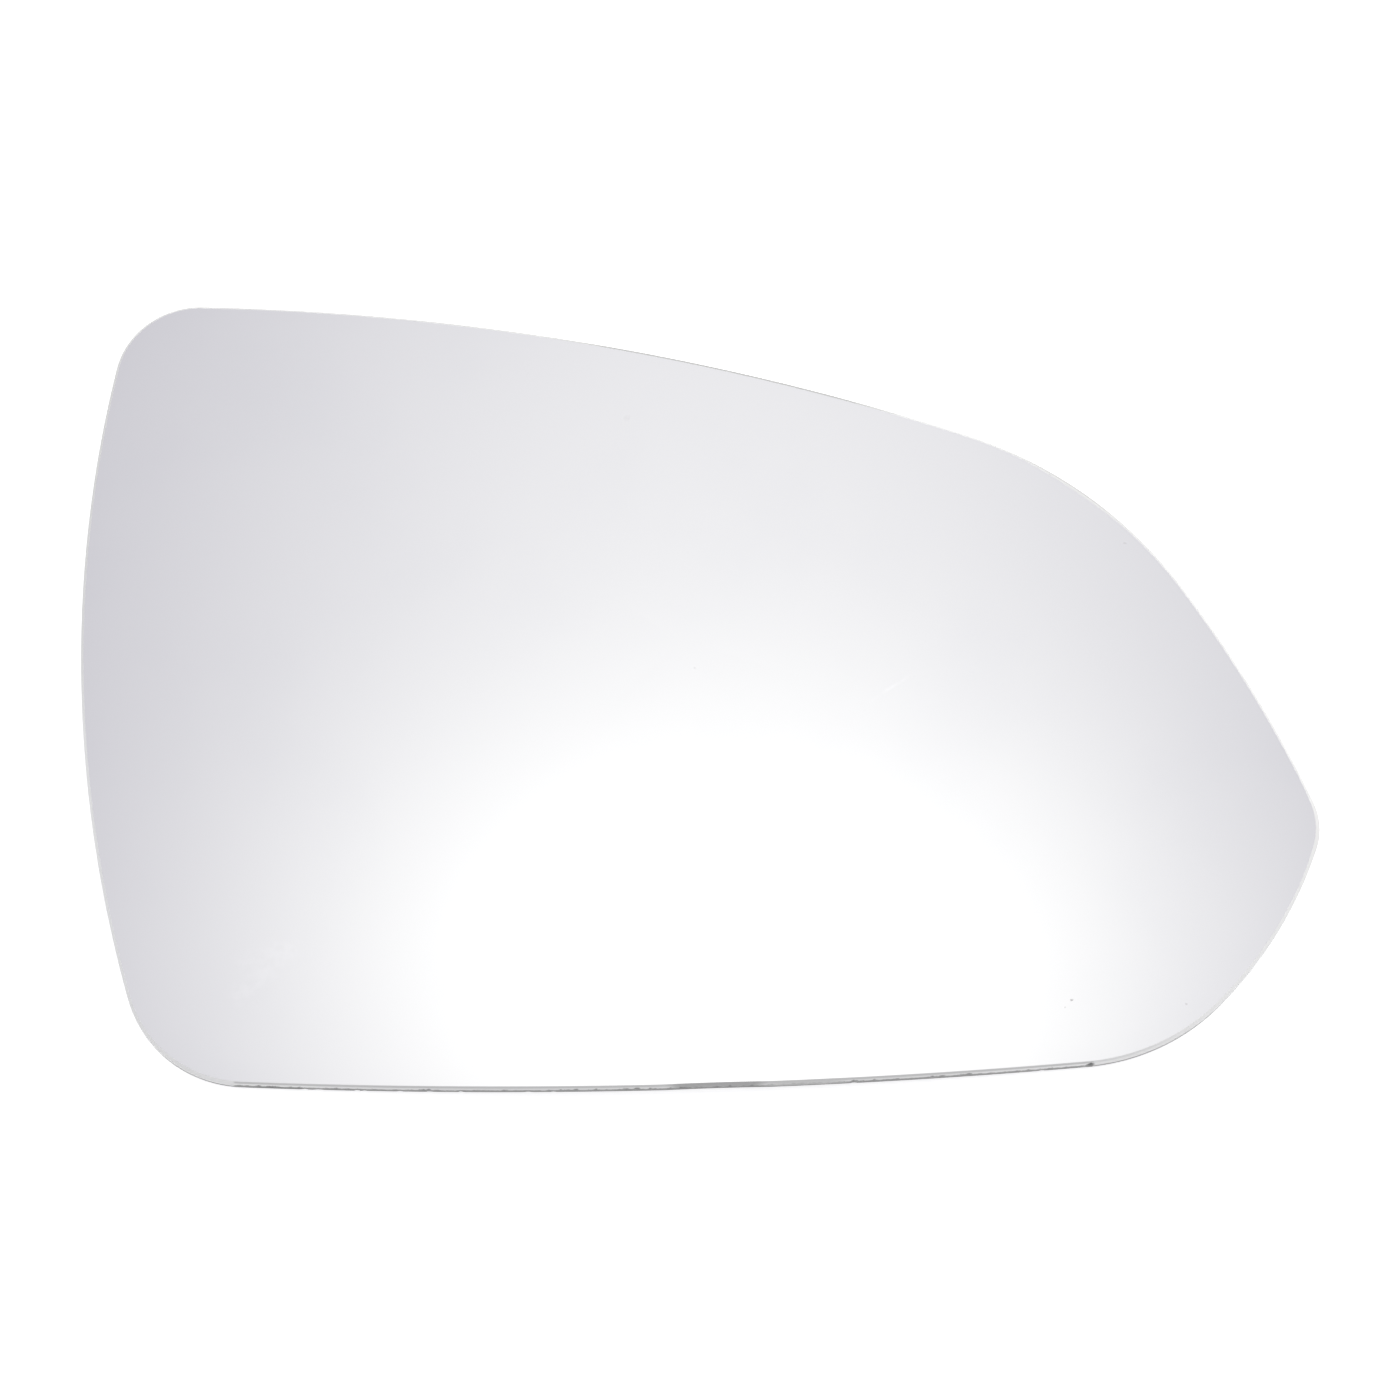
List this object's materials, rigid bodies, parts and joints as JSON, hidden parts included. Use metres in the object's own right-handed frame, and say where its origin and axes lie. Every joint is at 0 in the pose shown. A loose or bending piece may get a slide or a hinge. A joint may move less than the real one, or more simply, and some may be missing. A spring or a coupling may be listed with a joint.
{
  "type": "car door mirror glass",
  "caption": "Convex car door mirror glass: a thin mirror-coated sheet bent to a large sphere, cut to a rounded outline with a narrow outer tip and ground edges.",
  "frame": {"origin": "middle of the outline's box, on the surface that the rim rests on", "axes": "+X along the glass to its narrow outer tip, +Y to its upper edge on the car, +Z out of the mirror face"},
  "size_m": [0.1856, 0.1256, 0.0056],
  "materials": {
    "mirror_glass": "mirror"
  },
  "bodies": {
    "root": {"mirror_glass": "mirror_glass"}
  },
  "joints": []
}
